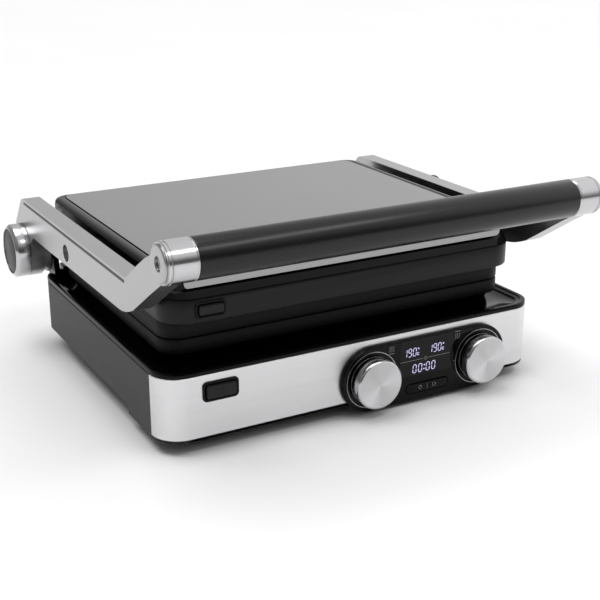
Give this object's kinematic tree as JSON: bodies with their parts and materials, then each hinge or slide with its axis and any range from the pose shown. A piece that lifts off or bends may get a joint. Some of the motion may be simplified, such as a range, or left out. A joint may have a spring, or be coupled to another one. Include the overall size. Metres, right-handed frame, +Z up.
{
  "type": "panini press",
  "caption": "Closed contact grill with a floating lid on two side arms, a tube handle, ridged plates, dials and a digital control panel.",
  "frame": {"origin": "centre of the base in plan, on the surface the rubber feet stand on", "axes": "+X to the right, -Y towards the front and the controls, +Z up"},
  "size_m": [0.38, 0.3504, 0.1739],
  "materials": {
    "satin_black": "satin moulded black",
    "gloss_black": "high gloss black",
    "dark_grey": "matte dark grey",
    "brushed_steel": "fine horizontal brushing",
    "spun_steel": "spun brushed",
    "polished": "polished",
    "arm_metal": "satin cast",
    "nonstick": "rough non-stick coat",
    "grip_rubber": "satin grip",
    "rubber": "matte",
    "window": "dark tinted",
    "board": "circuit board",
    "zinc": "zinc plated",
    "brass": "plain",
    "element": "heat-stained sheath"
  },
  "bodies": {
    "base": {"lower_housing": "dark_grey", "bottom_cover": "satin_black", "front_fascia": "brushed_steel", "fascia_trim": "satin_black", "top_deck": "gloss_black", "rubber_feet": "rubber", "base_screws": "zinc", "cord_gland": "rubber", "control_panel": "gloss_black", "display_window": "window", "display_board": "board", "power_board": "board", "knob_encoders": "zinc", "lower_release_bezel": "gloss_black", "lower_reflector": "brushed_steel", "lower_element": "element", "lower_plate": "nonstick", "hinge_post_left": "gloss_black", "hinge_post_right": "gloss_black", "hinge_pins": "zinc", "hinge_washers": "zinc"},
    "left_dial": {"left_knob": "spun_steel", "left_knob_shaft": "zinc"},
    "right_dial": {"right_knob": "spun_steel", "right_knob_shaft": "zinc"},
    "start_key": {"start_button": "gloss_black"},
    "lower_release": {"lower_release_button": "satin_black", "lower_release_latch": "zinc"},
    "arms": {"arm_left": "arm_metal", "arm_right": "arm_metal", "arm_inlay_left": "dark_grey", "arm_inlay_right": "dark_grey", "handle_grip": "grip_rubber", "handle_core": "zinc", "handle_screws": "zinc", "hinge_cap_left": "polished", "hinge_cap_right": "polished", "cap_disc_left": "dark_grey", "cap_disc_right": "dark_grey", "hinge_bushes": "brass", "pivot_screws": "zinc"},
    "lid_lock": {"lock_button": "satin_black"},
    "lid": {"lid_shell": "satin_black", "lid_frame": "gloss_black", "lid_top_panel": "brushed_steel", "lid_screws": "zinc", "lid_pivot_bosses": "satin_black", "upper_release_bezel": "gloss_black", "upper_reflector": "brushed_steel", "upper_element": "element", "upper_plate": "nonstick"},
    "upper_release": {"upper_release_button": "satin_black", "upper_release_latch": "zinc"}
  },
  "joints": [
    {"name": "arm_hinge", "type": "hinge", "parent": "base", "child": "arms", "pos_m": [0, 0.139, 0.0848], "axis": [-1, 0, 0], "range_deg": [0, 178]},
    {"name": "lid_tilt", "type": "hinge", "parent": "arms", "child": "lid", "pos_m": [0, 0.02, 0.1134], "axis": [-1, 0, 0], "range_deg": [-12, 2]},
    {"name": "left_dial_turn", "type": "hinge", "parent": "base", "child": "left_dial", "pos_m": [0.005, -0.15, 0.0287], "axis": [0, -1, 0], "continuous": true},
    {"name": "right_dial_turn", "type": "hinge", "parent": "base", "child": "right_dial", "pos_m": [0.105, -0.15, 0.0287], "axis": [0, -1, 0], "continuous": true},
    {"name": "start_press", "type": "slide", "parent": "base", "child": "start_key", "axis": [0, 1, 0], "range_m": [0, 0.0008], "stiffness_N_per_m": 600, "springref_m": -0.0006},
    {"name": "lower_release_press", "type": "slide", "parent": "base", "child": "lower_release", "axis": [0, 1, 0], "range_m": [0, 0.0035], "stiffness_N_per_m": 800, "springref_m": -0.002},
    {"name": "upper_release_press", "type": "slide", "parent": "lid", "child": "upper_release", "axis": [0, 1, 0], "range_m": [0, 0.0035], "stiffness_N_per_m": 800, "springref_m": -0.002},
    {"name": "lid_lock_press", "type": "slide", "parent": "arms", "child": "lid_lock", "axis": [-1, 0, 0], "range_m": [0, 0.003], "stiffness_N_per_m": 600, "springref_m": -0.001}
  ],
  "couplings": [
    {"joint": "lid_tilt", "follows": "arm_hinge", "ratio": -0.06}
  ]
}
